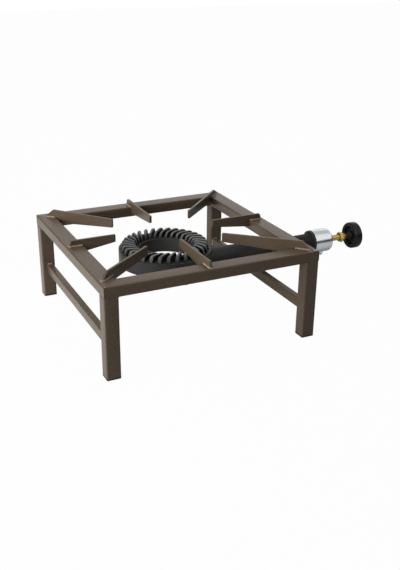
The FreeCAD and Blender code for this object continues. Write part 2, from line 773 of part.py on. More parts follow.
def air_sleeve():
    """Drawn cup over the cage: open in front, a rounded end with a round mouth, a boss underneath for
    the clamp screw and a slot at the rear that clears the gas inlet while the cup slides."""
    new = body("air_sleeve", x="rim_place - origin_shift", z="tube_axis")
    flat = sketch(new, "profile", "XZ_Plane")
    middle = ("sleeve_end - sleeve_round", "sleeve_outer - sleeve_round")
    outer = arc(*middle, "sleeve_round", 90, 0)
    inner = arc(*middle, "sleeve_round - sleeve_wall", 0, 90)
    outline(flat, [("sleeve_start", "sleeve_outer")] + outer + [
        ("sleeve_end", "sleeve_mouth_radius"),
        ("sleeve_end - sleeve_wall", "sleeve_mouth_radius")] + inner + [
        ("sleeve_start", "sleeve_inner")])
    turned(new, flat)
    boss = sketch(new, "boss", "XY_Plane", "-screw_seat")
    circle(boss, "screw_place", "0", "boss_radius")
    pad(new, boss, "boss_height + sleeve_wall / 2")
    hole = sketch(new, "hole", "XY_Plane")
    circle(hole, "screw_place", "0", "screw_radius + screw_gap")
    pocket(new, hole, "2 * screw_seat")
    slot = sketch(new, "slot", "XZ_Plane")
    half = "(nipple_flats / sqrt(3) + slot_gap)"
    rectangle(slot, "slot_start", "sleeve_end + cut_margin", "-" + half, half)
    pocket(new, slot, "2 * sleeve_outer")


def sleeve_screw():
    """Slotted clamp screw that points up at the cage."""
    new = body("sleeve_screw", x="rim_place + screw_place - origin_shift", z="tube_axis")
    flat = sketch(new, "profile", "XZ_Plane")
    outline(flat, [
        ("0", "-cage_radius - screw_tip_gap"),
        ("0", "-screw_end"),
        ("screw_head_radius", "-screw_end"),
        ("screw_head_radius", "-screw_seat - screw_head_gap"),
        ("screw_radius", "-screw_seat - screw_head_gap"),
        ("screw_radius", "-cage_radius - screw_tip_gap")])
    turned(new, flat, "V_Axis")
    slot = sketch(new, "slot", "XY_Plane", "-screw_end")
    rectangle(slot, "-screw_head_radius - cut_margin", "screw_head_radius + cut_margin",
              "-screw_slot_width / 2", "screw_slot_width / 2")
    pocket(new, slot, "screw_slot_depth", reverse=True)


def valve_body():
    """Brass body: threaded nose, shoulder and barrel, with a side boss for the gas inlet."""
    new = body("valve_body", x="rim_place - origin_shift", z="tube_axis")
    flat = sketch(new, "profile", "XZ_Plane")
    outline(flat, [
        ("nose_start", "jet_thread_radius + jet_thread_gap"),
        ("nose_start", "nose_radius"),
        ("cage_length", "nose_radius"),
        ("cage_length", "shoulder_radius"),
        ("shoulder_end", "shoulder_radius"),
        ("shoulder_end", "barrel_radius"),
        ("barrel_end", "barrel_radius"),
        ("barrel_end", "bore_radius"),
        ("seat_end", "bore_radius"),
        ("seat_end", "seat_radius"),
        ("seat_end - seat_length", "seat_radius"),
        ("seat_end - seat_length", "jet_thread_radius + jet_thread_gap")])
    turned(new, flat)
    boss = sketch(new, "boss", "XZ_Plane")
    circle(boss, "inlet_x", "0", "inlet_boss_radius")
    pad(new, boss, "inlet_boss_reach", reverse=True)
    bore = sketch(new, "bore", "XZ_Plane")
    rectangle(bore, "seat_end", "barrel_end + cut_margin", "0", "bore_radius")
    grooved(new, bore)
    side = sketch(new, "side_bore", "XZ_Plane")
    circle(side, "inlet_x", "0", "inlet_bore_radius")
    pocket(new, side, "inlet_boss_reach + cut_margin")
    seat = sketch(new, "nipple_seat", "XZ_Plane", "-inlet_boss_reach")
    circle(seat, "inlet_x", "0", "nipple_plug_radius + nipple_plug_gap")
    pocket(new, seat, "nipple_plug_length + nipple_end_gap", reverse=True)


def inlet_nipple():
    """Threaded gas connection that points to the rear, screwed into the side boss."""
    new = body("inlet_nipple", x="rim_place + inlet_x - origin_shift", z="tube_axis")
    flat = sketch(new, "profile", "XY_Plane")
    outline(flat, [
        ("inlet_bore_radius", "inlet_boss_reach - nipple_plug_length"),
        ("nipple_plug_radius", "inlet_boss_reach - nipple_plug_length"),
        ("nipple_plug_radius", "inlet_boss_reach"),
        ("nipple_relief_radius", "inlet_boss_reach"),
        ("nipple_relief_radius", "nipple_thread_start"),
        ("nipple_thread_radius", "nipple_thread_start"),
        ("nipple_thread_radius", "nipple_end - nipple_chamfer"),
        ("nipple_thread_radius - nipple_chamfer", "nipple_end"),
        ("inlet_bore_radius", "nipple_end")])
    turned(new, flat, "V_Axis")
    flats = sketch(new, "flats", "XZ_Plane", "-inlet_boss_reach")
    hexagon(flats, "0", "0", "nipple_flats")
    circle(flats, "0", "0", "nipple_relief_radius - joint_overlap")
    pad(new, flats, "nipple_flats_length", reverse=True)


def injector_jet():
    """Small brass nozzle in the nose of the valve that blows into the mouth of the tube."""
    new = body("injector_jet", x="rim_place - origin_shift", z="tube_axis")
    flat = sketch(new, "profile", "XZ_Plane")
    outline(flat, [
        ("jet_start", "jet_hole_radius"),
        ("jet_start", "jet_nose_radius"),
        ("nose_start - jet_flats_length", "jet_flats / 2 - joint_overlap"),
        ("nose_start", "jet_flats / 2 - joint_overlap"),
        ("nose_start", "jet_thread_radius"),
        ("nose_start + jet_thread_length", "jet_thread_radius"),
        ("nose_start + jet_thread_length", "jet_bore_radius"),
        ("jet_start + jet_hole_length + jet_cone_length", "jet_bore_radius"),
        ("jet_start + jet_hole_length", "jet_hole_radius")])
    turned(new, flat)
    flats = sketch(new, "flats", "YZ_Plane", "nose_start - jet_flats_length")
    hexagon(flats, "0", "0", "jet_flats")
    circle(flats, "0", "0", "jet_flats / 2 - 2 * joint_overlap")
    pad(new, flats, "jet_flats_length")


def lock_nut():
    """Flat nut that clamps the valve body in the end of the cage."""
    new = body("lock_nut", x="rim_place - origin_shift", z="tube_axis")
    flat = sketch(new, "shape", "YZ_Plane", "window_end - lock_nut_thickness")
    hexagon(flat, "0", "0", "lock_nut_flats")
    circle(flat, "0", "0", "nose_radius + nut_thread_gap")
    pad(new, flat, "lock_nut_thickness")


def packing_nut():
    """Hexagon nut with a collar that closes the barrel round the spindle."""
    new = body("packing_nut", x="rim_place - origin_shift", z="tube_axis")
    flat = sketch(new, "profile", "XZ_Plane")
    outline(flat, [
        ("nut_start", "barrel_radius + nut_thread_gap"),
        ("nut_start", "nut_flats / 2 - joint_overlap"),
        ("nut_hexagon_end", "nut_flats / 2 - joint_overlap"),
        ("nut_hexagon_end", "nut_collar_radius"),
        ("nut_end", "nut_collar_radius"),
        ("nut_end", "spindle_radius + spindle_gap"),
        ("barrel_end + packing_length", "spindle_radius + spindle_gap"),
        ("barrel_end + packing_length", "packing_radius"),
        ("barrel_end + nut_end_gap", "packing_radius"),
        ("barrel_end + nut_end_gap", "barrel_radius + nut_thread_gap")])
    turned(new, flat)
    flats = sketch(new, "flats", "YZ_Plane", "nut_start + nut_chamfer")
    hexagon(flats, "0", "0", "nut_flats", turn=1)
    circle(flats, "0", "0", "nut_flats / 2 - 2 * joint_overlap")
    pad(new, flats, "nut_hexagon_length - 2 * nut_chamfer")


def packing():
    """Soft ring pressed round the spindle by the nut."""
    turned_part("packing_ring", "rim_place - origin_shift", "tube_axis", [
        ("barrel_end", "spindle_radius + packing_gap"),
        ("barrel_end + packing_length", "spindle_radius + packing_gap"),
        ("barrel_end + packing_length", "packing_radius"),
        ("barrel_end", "packing_radius")])


def spindle():
    """Needle spindle: needle, thin neck, thread and a plain stem that carries the knob."""
    turned_part("spindle", "rim_place - origin_shift", "tube_axis", [
        ("needle_start", "0"),
        ("needle_start", "needle_tip_radius"),
        ("needle_start + needle_length", "spindle_neck_radius"),
        ("spindle_thread_start", "spindle_neck_radius"),
        ("spindle_thread_start", "bore_radius - spindle_thread_gap"),
        ("spindle_thread_start + spindle_thread_length", "bore_radius - spindle_thread_gap"),
        ("spindle_thread_start + spindle_thread_length", "spindle_radius"),
        ("knob_socket_end - spindle_end_gap", "spindle_radius"),
        ("knob_socket_end - spindle_end_gap", "knob_screw_radius + knob_screw_gap"),
        ("knob_screw_end", "knob_screw_radius + knob_screw_gap"),
        ("knob_screw_end", "0")])


def knob():
    """Round knob with a hollow back, a hub for the spindle and a sunk screw in its face."""
    shoulder = "knob_radius - knob_round"
    lip = "knob_radius - knob_rim_width"
    turned_part("knob", "rim_place - origin_shift", "tube_axis", [
        ("knob_start", "spindle_radius + knob_fit_gap"),
        ("knob_start", "knob_hub_radius - knob_draft"),
        ("knob_start + knob_recess", "knob_hub_radius"),
        ("knob_start + knob_recess", lip + " - knob_draft"),
        ("knob_start + knob_draft", lip),
        ("knob_start", lip + " + knob_draft")]
        + arc("knob_start + knob_round", shoulder, "knob_round", 180, 90)
        + arc("knob_end - knob_round", shoulder, "knob_round", 90, 0) + [
        ("knob_end", "knob_screw_head_radius + knob_sink_gap"),
        ("knob_sink_floor", "knob_screw_head_radius + knob_sink_gap"),
        ("knob_sink_floor", "knob_screw_radius + knob_screw_gap"),
        ("knob_socket_end", "knob_screw_radius + knob_screw_gap"),
        ("knob_socket_end", "spindle_radius + knob_fit_gap")])


def knob_screw():
    """Slotted screw that holds the knob on the end of the spindle."""
    new = turned_part("knob_screw", "rim_place - origin_shift", "tube_axis", [
        ("knob_sink_floor - knob_screw_length", "0"),
        ("knob_sink_floor - knob_screw_length", "knob_screw_radius"),
        ("knob_sink_floor", "knob_screw_radius"),
        ("knob_sink_floor", "knob_screw_head_radius"),
        ("knob_sink_floor + knob_screw_head_height", "knob_screw_head_radius"),
        ("knob_sink_floor + knob_screw_head_height", "0")])
    slot = sketch(new, "slot", "YZ_Plane", "knob_sink_floor + knob_screw_head_height")
    rectangle(slot, "-knob_screw_head_radius - cut_margin", "knob_screw_head_radius + cut_margin",
              "-screw_slot_width / 2", "screw_slot_width / 2")
    pocket(new, slot, "screw_slot_depth")


def build():
    sides = [("front", 0), ("right", 90), ("rear", 180), ("left", 270)]
    for side, turn in sides:
        rail(side + "_rail", turn)
    corners = [("front_left", 0), ("front_right", 90), ("rear_right", 180), ("rear_left", 270)]
    for corner, turn in corners:
        leg("leg_" + corner, turn)
        foot_cap("foot_cap_" + corner, turn)
    stretcher("stretcher_left", 0)
    stretcher("stretcher_right", 180)
    corner_finger("finger_front_left", 225, "front_left_setback", "front_left_tip",
                  "front_left_rise", "front_left_lean")
    corner_finger("finger_front_right", 315, "front_right_setback", "right_corner_tip")
    corner_finger("finger_rear_right", 45, "rear_right_setback", "right_corner_tip", "rear_right_rise")
    corner_finger("finger_rear_left", 135, "rear_left_setback", "rear_left_tip")
    side_finger("finger_right", 0, "short_finger_tip - ring_shift")
    side_finger("finger_rear", 90, "long_finger_tip", x="-ring_shift - origin_shift")
    side_finger("finger_left", 180, "short_finger_tip + ring_shift")
    side_finger("finger_front", 270, "long_finger_tip", x="-ring_shift - origin_shift")
    burner_ring()
    burner_crown()
    mixing_tube()
    strap()
    strap_bolt()
    strap_nut()
    hanger()
    air_sleeve()
    sleeve_screw()
    valve_body()
    inlet_nipple()
    injector_jet()
    lock_nut()
    packing_nut()
    packing()
    spindle()
    knob()
    knob_screw()


def check_and_write():
    """Recompute, make sure that every object is sound, then write one file per sub-part."""
    doc.recompute()
    for thing in doc.Objects:
        for word in ("Invalid", "Error"):
            if word in thing.State:
                raise ValueError("%s is %s" % (thing.Label, word))
    os.makedirs("parts", exist_ok=True)
    for thing in doc.Objects:
        if thing.TypeId != "PartDesign::Body":
            continue
        shape = thing.Shape
        if shape.isNull() or not shape.isValid() or shape.Volume <= 0:
            raise ValueError("%s has no sound shape" % thing.Label)
        shape.exportStep("parts/%s.step" % thing.Label)


fill_sheet()
build()
check_and_write()
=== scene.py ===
import json
import math

import bpy
import numpy as np
from mathutils import Matrix, Vector

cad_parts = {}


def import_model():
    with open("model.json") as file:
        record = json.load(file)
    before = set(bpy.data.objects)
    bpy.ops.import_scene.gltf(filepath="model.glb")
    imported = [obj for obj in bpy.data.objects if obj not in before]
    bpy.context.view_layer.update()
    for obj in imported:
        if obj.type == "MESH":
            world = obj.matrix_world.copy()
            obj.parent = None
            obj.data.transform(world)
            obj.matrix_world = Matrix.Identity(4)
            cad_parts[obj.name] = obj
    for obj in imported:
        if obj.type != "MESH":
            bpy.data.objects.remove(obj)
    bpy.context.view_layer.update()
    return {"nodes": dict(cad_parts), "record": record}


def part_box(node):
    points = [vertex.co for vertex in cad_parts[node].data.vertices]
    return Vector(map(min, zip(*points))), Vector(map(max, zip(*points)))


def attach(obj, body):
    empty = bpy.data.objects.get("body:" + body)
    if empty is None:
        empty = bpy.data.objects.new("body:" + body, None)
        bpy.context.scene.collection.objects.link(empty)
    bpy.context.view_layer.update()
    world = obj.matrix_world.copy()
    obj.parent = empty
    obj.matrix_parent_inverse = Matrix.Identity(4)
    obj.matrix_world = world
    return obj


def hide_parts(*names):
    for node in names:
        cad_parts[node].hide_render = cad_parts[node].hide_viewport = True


# Outdoor gas burner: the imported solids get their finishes, six finer pieces and weld beads.

MM = 0.001
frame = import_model()
nodes = frame["nodes"]


# Shader helpers.

class Wire:
    """A shader value that can be added, subtracted and multiplied; every step makes a Math node."""

    def __init__(self, tree, socket):
        self.tree = tree
        self.socket = socket

    def math(self, operation, *others, clamp=False):
        values = dict(enumerate((self,) + others))
        made = self.tree.node("ShaderNodeMath", {"operation": operation, "use_clamp": clamp}, values)
        return Wire(self.tree, made.outputs[0])

    def __add__(self, other):
        return self.math("ADD", other)

    def __sub__(self, other):
        return self.math("SUBTRACT", other)

    def __rsub__(self, other):
        """other - self, as self * -1 + other."""
        return self.math("MULTIPLY_ADD", -1.0, other)

    def __mul__(self, other):
        return self.math("MULTIPLY", other)

    __radd__ = __add__
    __rmul__ = __mul__

    def clamp(self):
        """The value held between 0 and 1."""
        return self.math("ADD", 0.0, clamp=True)

    def rises(self, low, high):
        """Smooth step: 0 below low, 1 above high."""
        inputs = {"Value": self, "From Min": low, "From Max": high}
        made = self.tree.node("ShaderNodeMapRange", {"interpolation_type": "SMOOTHSTEP"}, inputs)
        return Wire(self.tree, made.outputs[0])


class Tree:
    """The node tree of a material or a world, filled through one method."""

    def __init__(self, owner):
        owner.use_nodes = True
        self.tree = owner.node_tree
        self.tree.nodes.clear()

    def node(self, kind, settings=None, inputs=None):
        """A new node: its settings first, then the value or the link of each input that is named."""
        made = self.tree.nodes.new(kind)
        for key, setting in (settings or {}).items():
            setattr(made, key, setting)
        for key, given in (inputs or {}).items():
            socket = made.inputs[key]
            if isinstance(given, Wire):
                self.tree.links.new(given.socket, socket)
            elif isinstance(given, bpy.types.NodeSocket):
                self.tree.links.new(given, socket)
            else:
                socket.default_value = given
        return made

    def coordinates(self, kind):
        """The coordinate vector and its three parts."""
        place = self.node("ShaderNodeTexCoord").outputs[kind]
        parts = self.node("ShaderNodeSeparateXYZ", inputs={0: place})
        return [place] + [Wire(self, parts.outputs[i]) for i in range(3)]

    def mix(self, factor, low, high):
        """A colour between two colours."""
        made = self.node("ShaderNodeMix", {"data_type": "RGBA"}, {0: factor, 6: low, 7: high})
        return made.outputs[2]

    def rays(self):
        """One for camera rays, and one for rays that a glossy surface reflects."""
        path = self.node("ShaderNodeLightPath")
        return Wire(self, path.outputs["Is Camera Ray"]), Wire(self, path.outputs["Is Glossy Ray"])


class Paint(Tree):
    """One surface material in the object's own coordinates."""

    def __init__(self, name):
        self.material = bpy.data.materials.new(name)
        super().__init__(self.material)
        self.place, self.x, self.y, self.z = self.coordinates("Object")

    def stretched(self, scale):
        """The object coordinates with their own scale on each axis."""
        made = self.node("ShaderNodeMapping", inputs={"Vector": self.place, "Scale": scale})
        return made.outputs[0]

    def noise(self, scale, detail, rough=0.5, place=None):
        inputs = {"Vector": place or self.place, "Scale": scale, "Detail": detail, "Roughness": rough}
        return Wire(self, self.node("ShaderNodeTexNoise", inputs=inputs).outputs[0])

    def cells(self, scale):
        inputs = {"Vector": self.place, "Scale": scale}
        made = self.node("ShaderNodeTexVoronoi", {"feature": "SMOOTH_F1"}, inputs)
        return Wire(self, made.outputs[0])

    def attribute(self, name):
        made = self.node("ShaderNodeAttribute", {"attribute_name": name})
        return Wire(self, made.outputs["Fac"])

    def bump(self, height, distance, strength):
        inputs = {"Height": height, "Distance": distance, "Strength": strength}
        return self.node("ShaderNodeBump", inputs=inputs).outputs[0]

    def finish(self, colour, rough, constants=None, **more):
        """Closes the material: constants holds inputs whose names have spaces, more holds the others."""
        inputs = {"Base Color": colour, "Roughness": rough}
        inputs.update(constants or {})
        inputs.update(more)
        shader = self.node("ShaderNodeBsdfPrincipled", inputs=inputs)
        self.node("ShaderNodeOutputMaterial", inputs={"Surface": shader.outputs[0]})
        return self.material


def rgb(red, green, blue):
    return (red, green, blue, 1.0)


# Finishes.

SOFT = {"Specular IOR Level": 0.2}
BELL_START, BELL_RIM = (0.105, 0.135), (0.157, 0.159)


def satin_enamel(name, dark, light, sheen):
    """Warm brown baked enamel: slow drifts of tone, fine mottling and a faint orange peel."""
    p = Paint(name)
    drift = p.noise(11, 3)
    mottle = p.noise(430, 4, 0.7)
    peel = p.noise(900, 2, 0.5)
    tone = (drift * 0.5 + mottle * 1.5 - 0.5).clamp()
    rough = mottle * 0.2 + sheen
    skin = p.bump(peel * 0.5 + mottle * 0.5, 0.00025, 0.6)
    return p.finish(p.mix(tone, dark, light), rough, SOFT, Normal=skin)


def cast_iron(name, dark, light, grooved=False):
    """Black painted sand casting: a pitted skin that is darker in its pits, and black and duller round
    the bell of the mixing tube, up to its rim. A grooved casting carries the attribute painted_rib_light
    on its mesh, 0 in its grooves and up to 1 on its ribs, and gets painted shade from it: its colour goes
    to near black in the grooves."""
    p = Paint(name)
    skin = p.noise(520, 5, 0.7)
    pits = p.cells(380)
    wash = p.noise(26, 3)
    tone = (skin * 0.9 + wash * 0.4 - 0.2).clamp()
    colour = p.mix(tone, dark, light)
    if grooved:
        # painted shade: near black where the mesh attribute is low, in the crown's grooves and under it
        colour = p.mix(p.attribute("painted_rib_light"), rgb(0.004, 0.004, 0.004), colour)
    bell = p.x.rises(*BELL_START) * (1 - p.x.rises(*BELL_RIM))
    colour = p.mix(bell * 0.75, colour, rgb(0.006, 0.006, 0.006))
    rough = skin * 0.2 + bell * 0.15 + 0.34
    return p.finish(colour, rough, SOFT, Normal=p.bump(skin * 0.7 + pits * 0.5, 0.00032, 0.6))


def chrome_plate():
    """Bright plate on drawn tube: fine rings round the axis and faint smears."""
    p = Paint("chrome")
    rings = p.noise(1.0, 3, 0.6, p.stretched((2600, 40, 40)))
    smear = p.noise(60, 3)
    rough = smear * 0.08 + rings * 0.05 + 0.09
    colour = p.mix(smear, rgb(0.66, 0.69, 0.71), rgb(0.74, 0.77, 0.79))
    return p.finish(colour, rough, Metallic=1.0, Normal=p.bump(rings, 0.00003, 0.25))


def turned_brass():
    """Brass with turning lines round the axis and a slight tarnish."""
    p = Paint("brass")
    lines = p.noise(1.0, 2, 0.5, p.stretched((3200, 60, 60)))
    tarnish = p.noise(130, 4, 0.6)
    colour = p.mix(tarnish, rgb(0.42, 0.28, 0.08), rgb(0.64, 0.46, 0.17))
    rough = tarnish * 0.16 + lines * 0.08 + 0.2
    return p.finish(colour, rough, Metallic=1.0, Normal=p.bump(lines, 0.00006, 0.4))


def zinc_plate():
    """Zinc plated steel with a faint spangle."""
    p = Paint("zinc steel")
    spangle = p.cells(520)
    smear = p.noise(240, 3)
    colour = p.mix(spangle, rgb(0.42, 0.43, 0.45), rgb(0.62, 0.63, 0.64))
    return p.finish(colour, smear * 0.2 + 0.28, Metallic=1.0, Normal=p.bump(smear, 0.00005, 0.5))


def moulded(name, dark, light, sheen, texture):
    """Moulded plastic: a fine spark-eroded grain and soft wear."""
    p = Paint(name)
    grain = p.noise(1500, 2, 0.6)
    wear = p.noise(70, 3)
    rough = wear * 0.14 + grain * 0.08 + sheen
    return p.finish(p.mix(wear, dark, light), rough, SOFT, Normal=p.bump(grain, texture, 0.5))


MATERIALS = {
    "frame_paint": satin_enamel("frame paint", rgb(0.066, 0.046, 0.028), rgb(0.120, 0.087, 0.057), 0.2),
    "black_iron": cast_iron("black iron", rgb(0.020, 0.021, 0.0195), rgb(0.064, 0.066, 0.060)),
    "chrome": chrome_plate(),
    "brass": turned_brass(),
    "zinc_steel": zinc_plate(),
    "cap_plastic": moulded("cap plastic", rgb(0.012, 0.012, 0.012), rgb(0.022, 0.022, 0.022), 0.5, 0.0001),
    "knob_plastic": moulded("knob plastic", rgb(0.008, 0.008, 0.0085), rgb(0.017, 0.017, 0.0175),
                            0.12, 0.00005),
    "packing": moulded("packing", rgb(0.7, 0.7, 0.68), rgb(0.8, 0.8, 0.78), 0.4, 0.00005),
}
# weld beads use a lighter, glossier copy of the frame enamel: painted highlight
WELD_PAINT_WITH_PAINTED_HIGHLIGHT = satin_enamel("weld paint with painted highlight", rgb(0.17, 0.130, 0.095), rgb(0.37, 0.30, 0.24), 0.14)
# the crown's iron is a much lighter copy of the black iron: painted highlight on the rib tops
CROWN_IRON_WITH_PAINTED_LIGHT = cast_iron("crown iron with painted light", rgb(0.095, 0.099, 0.091), rgb(0.235, 0.242, 0.225), grooved=True)


# Mesh helpers.

def tube(name, rings, closed=False):
    """A closed skin over rings of points, shape (rings, points, 3): neighbours are joined by quads,
    and the first and last ring are shut with a fan, or joined to each other when closed."""
    rings = np.asarray(rings, float)
    count, around = rings.shape[:2]
    i = np.arange(count if closed else count - 1)[:, None]
    j = np.arange(around)[None, :]
    following, beside = (i + 1) % count, (j + 1) % around
    quads = np.stack([i * around + j, i * around + beside, following * around + beside,
                      following * around + j], axis=-1).reshape(-1, 4)
    points = rings.reshape(-1, 3)
    fans = np.zeros((0, 3), int)
    if not closed:
        points = np.vstack([points, rings[0].mean(0), rings[-1].mean(0)])
        first, last = count * around, count * around + 1
        k = np.arange(around)
        near = np.stack([(k + 1) % around, k, np.full(around, first)], axis=1)
        base = (count - 1) * around
        far = np.stack([base + k, base + (k + 1) % around, np.full(around, last)], axis=1)
        fans = np.vstack([near, far])
    mesh = bpy.data.meshes.new(name)
    mesh.vertices.add(len(points))
    mesh.vertices.foreach_set("co", points.astype(np.float32).ravel())
    loops = np.concatenate([quads.ravel(), fans.ravel()])
    mesh.loops.add(len(loops))
    mesh.loops.foreach_set("vertex_index", loops.astype(np.int32))
    starts = np.concatenate([np.arange(len(quads)) * 4, len(quads) * 4 + np.arange(len(fans)) * 3])
    mesh.polygons.add(len(starts))
    mesh.polygons.foreach_set("loop_start", starts.astype(np.int32))
    mesh.update(calc_edges=True)
    mesh.validate()
    made = bpy.data.objects.new(name, mesh)
    bpy.context.scene.collection.objects.link(made)
    return made


def volume(mesh):
    """Signed volume: the sum over the triangles of a . (b x c) / 6; it is negative when inside out."""
    mesh.calc_loop_triangles()
    co = np.zeros(len(mesh.vertices) * 3)
    mesh.vertices.foreach_get("co", co)
    co = co.reshape(-1, 3)
    corners = np.zeros(len(mesh.loop_triangles) * 3, np.int32)
    mesh.loop_triangles.foreach_get("vertices", corners)
    a, b, c = (co[corners.reshape(-1, 3)[:, k]] for k in range(3))
    return float(np.einsum("ij,ij->i", a, np.cross(b, c)).sum() / 6)


def dress(piece, slot, body, sharp, finish=None):
    """Material, outward faces, smooth shading up to the sharp angle and the body that carries the piece."""
    mesh = piece.data
    mesh.materials.append(finish or MATERIALS[slot])
    if volume(mesh) < 0:
        mesh.flip_normals()
    mesh.shade_smooth()
    mesh.set_sharp_from_angle(angle=math.radians(sharp))
    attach(piece, body)


# The crown.

CREST_PLACES = [0, 0.05, 0.1, 0.2, 0.3, 0.45, 0.6, 0.72, 0.83, 0.9, 0.95, 1]
CREST_HEIGHTS = [0.20, 0.64, 0.82, 0.93, 0.97, 0.98, 0.99, 1.0, 0.98, 0.91, 0.72, 0.30]


def crown():
    """The ribbed crown as one closed skin. Seen from above, the middle of each rib is tangent to a circle
    of radius tangent, so at radius r it is turned by asin(tangent / r). The columns of the grid follow
    the ribs: off is a column's distance from the middle of its rib, as a part of half the pitch, and s
    is that distance in half rib widths. The height is the valley plus (crest - valley) times arch, which
    is the root of 1 - s to the power 4, and a flame slot is sunk in each valley. The attribute
    painted_rib_light holds painted light and shade: it is 1 along the top of a rib, less towards its two
    low ends, and falls to 0 down its flanks, and it is 0.3 under the crown, so the material paints the
    flanks, grooves and underside dark and the rib tops light."""
    low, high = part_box("burner_crown")
    centre = (low + high) / 2
    outer, base, top = (high.x - low.x) / 2, low.z, high.z
    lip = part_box("burner_ring")[1].z
    inner, tangent, count, share = 42.8 * MM, 29 * MM, 32, 0.58
    slot_inner, slot_outer, slot_depth = 53.5 * MM, 63 * MM, 8.0 * MM
    valley_sink, valley_arch = 0.8 * MM, 5.4 * MM
    inside = share * np.array([0, 0.2, 0.38, 0.54, 0.68, 0.79, 0.88, 0.945, 0.985])
    half = np.concatenate([inside, [share, share + 0.05, share + 0.14, share + 0.24, 1.0]])
    off = np.concatenate([-half[:0:-1], half[:-1]])
    columns = (np.arange(count)[:, None] + off[None, :] / 2).ravel() * 2 * np.pi / count
    off = np.abs(np.tile(off, count))[None, :]
    rows = 44
    across = np.linspace(0, 1, rows)
    r = (inner + (outer - inner) * across)[:, None]
    slant = np.arcsin(tangent / r)
    height = np.interp(across, CREST_PLACES, CREST_HEIGHTS)[:, None]
    crest = lip + height * (top - lip)
    valley = lip + valley_arch * np.sin(np.pi * across)[:, None] ** 0.7 - valley_sink
    s = np.clip(off / share, 0, 1)
    arch = np.sqrt(1 - s ** 4)
    in_valley = np.clip((off - 0.8) * 8, 0, 1)
    in_reach = np.clip((r - slot_inner) / MM, 0, 1) * np.clip((slot_outer - r) / MM, 0, 1)
    z = valley + (crest - valley) * arch - slot_depth * in_valley * in_reach
    turn = columns[None, :] + slant
    skin = np.stack([centre.x + r * np.cos(turn), centre.y + r * np.sin(turn), z], axis=-1)
    # painted light and shade: 1 along the rib tops and more higher up, falling to 0 down the flanks into
    # the grooves
    painted_rib_light = np.clip(2 - 2.4 * s, 0, 1) * (0.35 + 0.65 * height)
    edge, underside_painted_shade = 0.4 * MM, 0.3
    below = []
    for radius, level, way in ((outer, base + edge, -1), (outer - edge, base, -1),
                               (inner + edge, base, 0), (inner, base + edge, 0)):
        turn = columns + slant[way]
        below.append(np.stack([centre.x + radius * np.cos(turn), centre.y + radius * np.sin(turn),
                               np.full_like(turn, level)], axis=-1))
    piece = tube("crown_ribs", np.concatenate([skin, np.stack(below)]), closed=True)
    # painted shade under the crown: its underside gets 0.3
    painted_rib_light = np.vstack([painted_rib_light, np.full((len(below), len(columns)), underside_painted_shade)])
    marks = piece.data.attributes.new("painted_rib_light", "FLOAT", "POINT")
    marks.data.foreach_set("value", painted_rib_light.astype(np.float32).ravel())
    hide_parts("burner_crown")
    dress(piece, "black_iron", "frame", 55, CROWN_IRON_WITH_PAINTED_LIGHT)


# Turned pieces.

AXES = {"x": (0, 1, 2), "y": (1, 2, 0), "z": (2, 0, 1)}
ROUND = 1000.0


def turned(name, node, axis, rows, slot, body, pitch=1.0, flat_angle=90, around=120, sharp=35, closed=True):
    """A turned part about a line along the axis, in the place of a CAD node. A row is the place from the
    node's low end, the radius, the width over flats and the thread depth, all in millimetres. The radius
    at a turn is the smaller of two: radius - depth * |2 * part(place / pitch - turn) - 1|, where turn is
    counted in whole turns, and half the flats divided by the cosine of the angle from the nearest flat."""
    low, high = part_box(node)
    along, first, second = AXES[axis]
    centre = (low + high) / 2
    rows = np.array([tuple(row) + (ROUND, 0)[len(row) - 2:] for row in rows], float)
    place, radius, flats, depth = (rows[:, k:k + 1] for k in range(4))
    turn = np.linspace(0, 2 * np.pi, around, endpoint=False)[None, :]
    thread = depth * np.abs(2 * ((place / pitch - turn / (2 * np.pi)) % 1) - 1)
    from_flat = (turn - math.radians(flat_angle - 30)) % (np.pi / 3) - np.pi / 6
    r = np.minimum(radius - thread, flats / 2 / np.cos(from_flat))
    rings = np.empty(r.shape + (3,))
    rings[..., along] = low[along] + place * MM
    rings[..., first] = centre[first] + r * MM * np.cos(turn)
    rings[..., second] = centre[second] + r * MM * np.sin(turn)
    piece = tube(name, rings, closed)
    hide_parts(node)
    dress(piece, slot, body, sharp)


def rounded(points, radius, steps):
    """The closed outline with every corner rounded: the bend starts and ends at an equal distance from
    the corner, and its points follow the quadratic curve that the corner pulls."""
    shape = np.asarray(points, float)
    result = []
    count = len(shape)
    for i in range(count):
        here, before, after = shape[i], shape[i - 1], shape[(i + 1) % count]
        first, second = before - here, after - here
        reach = min(radius, 0.45 * np.linalg.norm(first), 0.45 * np.linalg.norm(second))
        start = here + first / np.linalg.norm(first) * reach
        end = here + second / np.linalg.norm(second) * reach
        for k in np.linspace(0, 1, steps):
            result.append(tuple((1 - k) ** 2 * start + 2 * k * (1 - k) * here + k * k * end))
    return result


def knob_piece():
    """Knob with a hollow back: the CAD outline with soft corners and a shallow dish in its face."""
    low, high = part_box("knob")
    radius, thick = (high.z - low.z) / 2 / MM, (high.x - low.x) / MM
    lip, recess, hub = radius - 6.5, 6.0, 6.5
    bore, socket = 2.55, 8.3
    screw, head, sink = 1.6, 3.9, thick - 3.6
    face, dish = thick - 0.8, 10.5
    outline = [(0, bore), (0, hub), (recess, hub + 1), (recess, lip - 1), (1, lip), (0, lip + 1),
               (0, radius - 1.6), (0.7, radius - 0.5), (2.2, radius), (thick - 2.2, radius),
               (thick - 0.7, radius - 0.5), (thick, radius - 1.6), (thick, dish + 1.5), (face, dish),
               (face, head), (sink, head), (sink, screw), (socket, screw), (socket, bore)]
    turned("knob_moulding", "knob", "x", rounded(outline, 0.5, 5), "knob_plastic", "knob",
           around=144, sharp=40)


